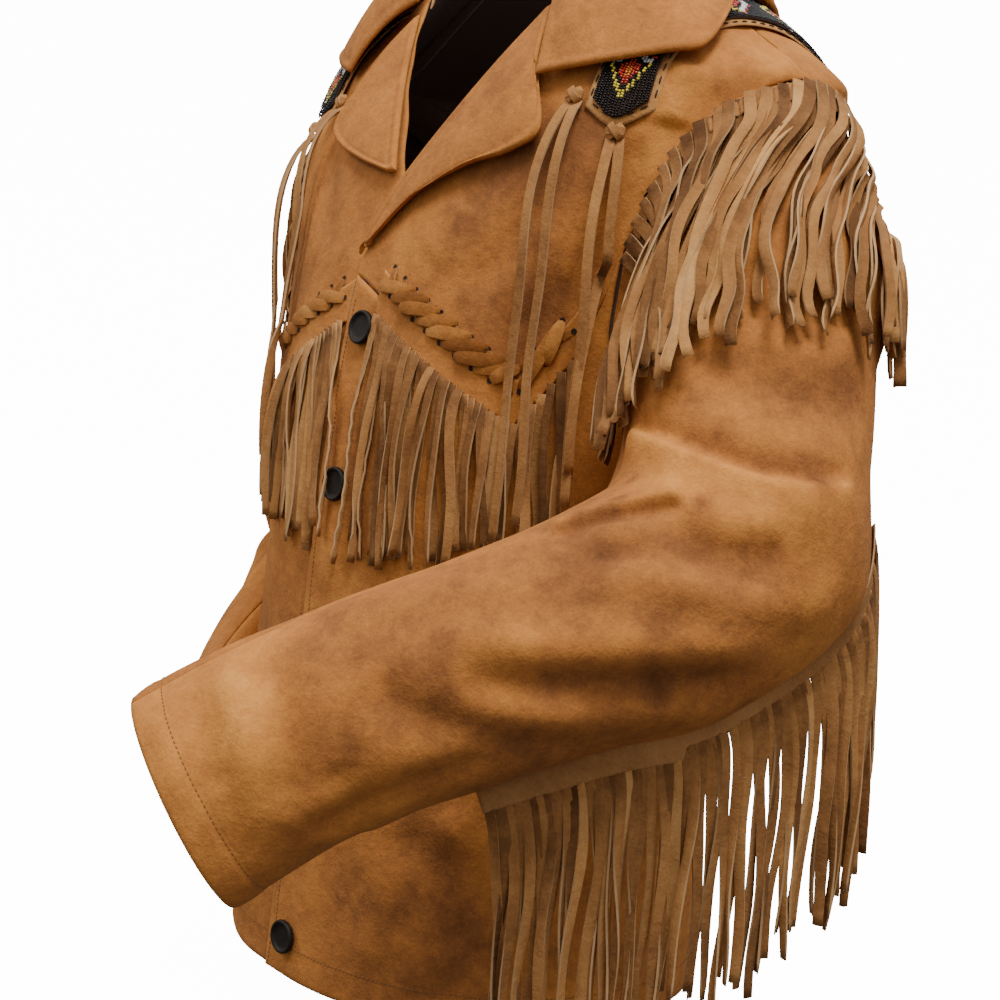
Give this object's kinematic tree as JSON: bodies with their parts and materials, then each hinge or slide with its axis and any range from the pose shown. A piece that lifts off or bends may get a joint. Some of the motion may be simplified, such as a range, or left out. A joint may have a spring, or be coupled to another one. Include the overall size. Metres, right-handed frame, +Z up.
{
  "type": "fringed suede western jacket",
  "caption": "Waist-length western jacket of tan suede, worn shape, with laced yokes, hanging fringe, bead-worked shoulder strips and a buttoned front.",
  "frame": {"origin": "centre line of the jacket, level with the shoulder seams where they meet the collar stand; where the wearer's shoulders carry it", "axes": "+Z up, -Y the front of the jacket, +X the wearer's left"},
  "size_m": [0.6808, 0.5418, 0.739],
  "materials": {
    "suede": "suede nap, mottled golden tan",
    "fringe_suede": "suede strip, duller brown with pale cut edges",
    "beadwork": "black glass seed beads with a coloured motif",
    "button": "dark brown, nearly matt"
  },
  "bodies": {
    "root": {"back": "suede", "front_left": "suede", "front_right": "suede", "yoke_left": "suede", "yoke_right": "suede", "lapel_left": "suede", "lapel_right": "suede", "collar": "suede", "collar_stand": "suede", "sleeve_left_top": "suede", "sleeve_left_under": "suede", "sleeve_right_top": "suede", "sleeve_right_under": "suede", "bead_back_left": "suede", "bead_back_right": "suede", "fringe_yoke_left": "fringe_suede", "fringe_yoke_right": "fringe_suede", "fringe_armhole_left": "fringe_suede", "fringe_armhole_right": "fringe_suede", "fringe_sleeve_left": "fringe_suede", "fringe_sleeve_right": "fringe_suede", "tie_left_inner": "fringe_suede", "tie_left_outer": "fringe_suede", "tie_right_inner": "fringe_suede", "tie_right_outer": "fringe_suede", "bead_strip_left": "beadwork", "bead_strip_right": "beadwork", "button_1": "button", "button_2": "button", "button_3": "button", "button_4": "button", "button_5": "button"}
  },
  "joints": []
}
